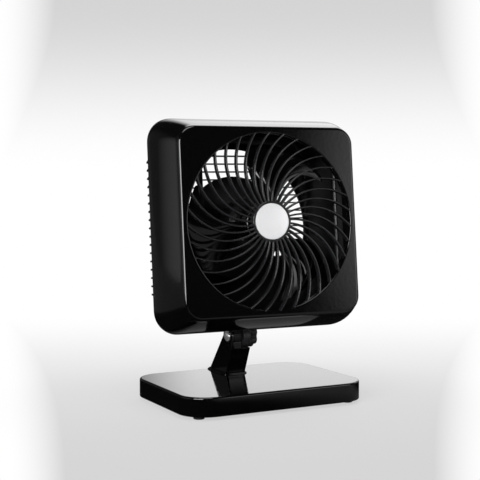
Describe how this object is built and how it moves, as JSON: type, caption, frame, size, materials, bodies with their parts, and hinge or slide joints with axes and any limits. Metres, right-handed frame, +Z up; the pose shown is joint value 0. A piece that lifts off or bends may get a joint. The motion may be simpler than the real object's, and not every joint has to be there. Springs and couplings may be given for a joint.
{
  "type": "air circulator fan",
  "caption": "Desk air circulator: square gloss housing with a spiral grille, tilting and swivelling on a leaning arm over a flat rounded base.",
  "frame": {"origin": "middle of the bounding box's footprint, on the floor under the feet", "axes": "+Z up, the longest extent; +Y points to the back, so the grille faces -Y; +X to the right seen from the front"},
  "size_m": [0.3496, 0.2436, 0.474],
  "materials": {
    "gloss_black": "gloss black moulded plastic",
    "satin_black": "satin black moulded plastic",
    "knob_grey": "fine-grained dark grey plastic",
    "black_rubber": "matt black rubber",
    "silver_badge": "satin silver disc",
    "chrome": "polished",
    "steel": "zinc-plated",
    "bronze": "sintered bronze",
    "copper": "enamelled copper winding",
    "white_plastic": "white plastic"
  },
  "bodies": {
    "base": {"base_shell": "gloss_black", "base_bottom_plate": "satin_black", "base_screw_1": "steel", "base_screw_2": "steel", "base_screw_3": "steel", "base_screw_4": "steel", "foot_front_left": "black_rubber", "foot_front_right": "black_rubber", "foot_rear_left": "black_rubber", "foot_rear_right": "black_rubber", "support_arm": "gloss_black", "arm_screw_1": "steel", "arm_screw_2": "steel", "arm_screw_3": "steel", "arm_screw_4": "steel", "tilt_bolt": "chrome", "tilt_washer": "steel"},
    "tilt_knob": {"tilt_knob": "knob_grey", "knob_insert": "bronze"},
    "neck": {"neck_lug": "satin_black", "swivel_washer": "steel"},
    "head": {"swivel_bolt": "steel", "swivel_nut": "steel", "front_housing": "gloss_black", "hub_badge": "silver_badge", "rear_cover": "satin_black", "housing_screw_1": "steel", "housing_screw_2": "steel", "housing_screw_3": "steel", "housing_screw_4": "steel", "motor_front_bell": "satin_black", "motor_rear_bell": "satin_black", "stator_core": "satin_black", "stator_coil_1": "copper", "stator_coil_2": "copper", "motor_screw_1": "steel", "motor_screw_2": "steel", "motor_screw_3": "steel", "motor_screw_4": "steel", "front_bearing": "bronze", "rear_bearing": "bronze", "speed_switch": "white_plastic", "capacitor": "white_plastic", "cord_inlet_gland": "black_rubber", "inner_lead": "black_rubber"},
    "fan": {"rotor": "steel", "motor_shaft": "steel", "propeller": "satin_black", "propeller_nut": "satin_black"},
    "speed_knob": {"speed_knob": "knob_grey"}
  },
  "joints": [
    {"name": "tilt", "type": "hinge", "parent": "base", "child": "neck", "pos_m": [0.00383, 0.04403, 0.105], "axis": [1, 0, 0], "range_deg": [-20, 30]},
    {"name": "swivel", "type": "hinge", "parent": "neck", "child": "head", "pos_m": [0.00383, 0.01828, 0.13086], "axis": [0, 0.0913, 0.9958], "range_deg": [-40, 50]},
    {"name": "fan_spin", "type": "hinge", "parent": "head", "child": "fan", "pos_m": [-0.00758, -0.0967, 0.30609], "axis": [0.0872, 0.992, -0.091], "continuous": true},
    {"name": "tilt_knob_turn", "type": "hinge", "parent": "base", "child": "tilt_knob", "pos_m": [0.00383, 0.04403, 0.105], "axis": [1, 0, 0], "range_deg": [-60, 300]},
    {"name": "speed_knob_turn", "type": "hinge", "parent": "head", "child": "speed_knob", "pos_m": [-0.00758, -0.0967, 0.30609], "axis": [0.0872, 0.992, -0.091], "range_deg": [0, 135]}
  ]
}
